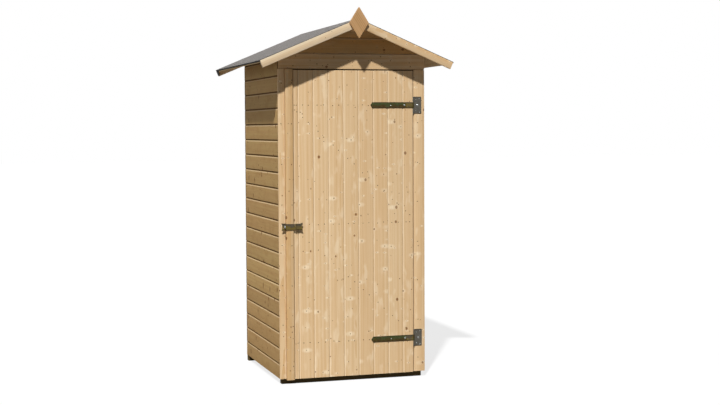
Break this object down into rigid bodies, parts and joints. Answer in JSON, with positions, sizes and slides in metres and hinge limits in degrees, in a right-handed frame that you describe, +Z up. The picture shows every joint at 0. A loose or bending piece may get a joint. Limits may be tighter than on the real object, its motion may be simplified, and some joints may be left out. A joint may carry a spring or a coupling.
{
  "type": "small garden tool shed",
  "caption": "Narrow boarded tool shed with an overhanging felted gable roof, a hinged ledged door with strap hinges, and a hasp latch.",
  "frame": {"origin": "under the middle bearer, on the ground, in the middle of the floor plan", "axes": "+Z up, the door faces -Y, +X to the right when facing the door"},
  "size_m": [1.3082, 1.443, 2.4431],
  "materials": {
    "planed_boards": "planed untreated spruce boards",
    "framing": "planed untreated spruce battens",
    "rough_boards": "planed spruce boards, slightly darker",
    "bearer_timber": "pressure treated softwood bearers",
    "finial_wood": "planed pine",
    "roofing_felt": "grey mineral surfaced bitumen felt",
    "hinge_plate_steel": "dark grey coated pressed steel",
    "strap_steel": "dark green coated pressed steel"
  },
  "bodies": {
    "shed": {"front_bearer": "bearer_timber", "middle_bearer": "bearer_timber", "rear_bearer": "bearer_timber", "left_roof_deck": "rough_boards", "right_roof_deck": "rough_boards", "floor_boards": "rough_boards", "left_wall": "planed_boards", "right_wall": "planed_boards", "rear_wall": "planed_boards", "front_gable": "planed_boards", "left_corner_board": "planed_boards", "door_cover_strip": "planed_boards", "right_door_stile": "planed_boards", "front_left_barge": "planed_boards", "front_right_barge": "planed_boards", "rear_left_barge": "planed_boards", "rear_right_barge": "planed_boards", "front_left_post": "framing", "front_right_post": "framing", "rear_left_post": "framing", "rear_right_post": "framing", "left_stud": "framing", "right_stud": "framing", "rear_stud": "framing", "left_top_plate": "framing", "right_top_plate": "framing", "door_head": "framing", "ridge_beam": "framing", "finial": "finial_wood", "left_felt": "roofing_felt", "right_felt": "roofing_felt", "upper_hinge_plate": "hinge_plate_steel", "lower_hinge_plate": "hinge_plate_steel", "latch_staple": "hinge_plate_steel"},
    "door": {"door_boards": "planed_boards", "door_top_ledge": "framing", "door_middle_ledge": "framing", "door_bottom_ledge": "framing", "door_upper_brace": "framing", "door_lower_brace": "framing", "upper_hinge_strap": "strap_steel", "lower_hinge_strap": "strap_steel", "latch_bracket": "strap_steel"},
    "hasp": {"latch_hasp": "strap_steel"}
  },
  "joints": [
    {"name": "door_hinge", "type": "hinge", "parent": "shed", "child": "door", "pos_m": [0.42125, -0.505, 1], "axis": [0, 0, 1], "range_deg": [0, 135]},
    {"name": "hasp_hinge", "type": "hinge", "parent": "door", "child": "hasp", "pos_m": [-0.3945, -0.5205, 1.031], "axis": [0, 0, 1], "range_deg": [0, 165]}
  ]
}
